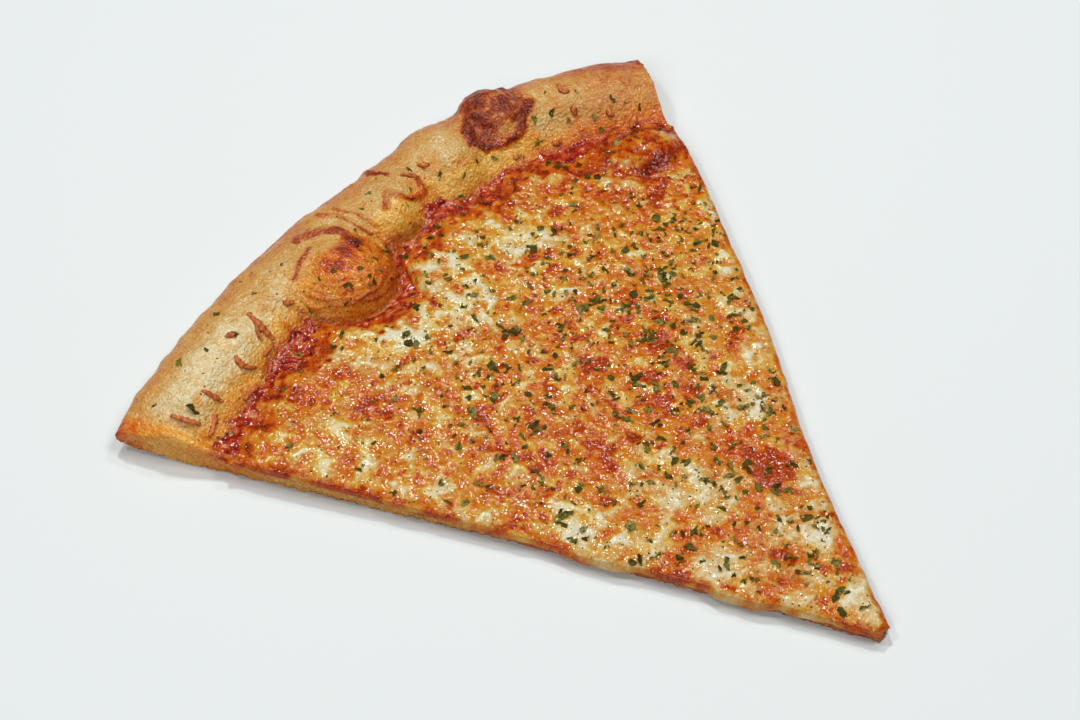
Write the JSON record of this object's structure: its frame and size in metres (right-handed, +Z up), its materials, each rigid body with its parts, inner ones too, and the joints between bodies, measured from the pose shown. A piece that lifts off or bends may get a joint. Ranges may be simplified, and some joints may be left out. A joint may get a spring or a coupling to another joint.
{
  "type": "cheese pizza slice",
  "caption": "Large thin crust cheese pizza slice with a raised bubbled rim, tomato sauce and browned melted cheese with dried herbs, lying flat.",
  "frame": {"origin": "centre of the bounding box in plan, on the flat underside", "axes": "+Z up, +Y from the tip towards the middle of the rim, +X to the right when the rim points away"},
  "size_m": [0.2472, 0.253, 0.0215],
  "materials": {
    "baked_dough": "baked dough, matte and floury, golden brown at the outer edge",
    "tomato_sauce": "cooked tomato sauce, wet and oily",
    "melted_cheese": "melted cheese, oily, toasted orange in places"
  },
  "bodies": {
    "root": {"crust": "baked_dough", "sauce": "tomato_sauce", "cheese": "melted_cheese"}
  },
  "joints": []
}
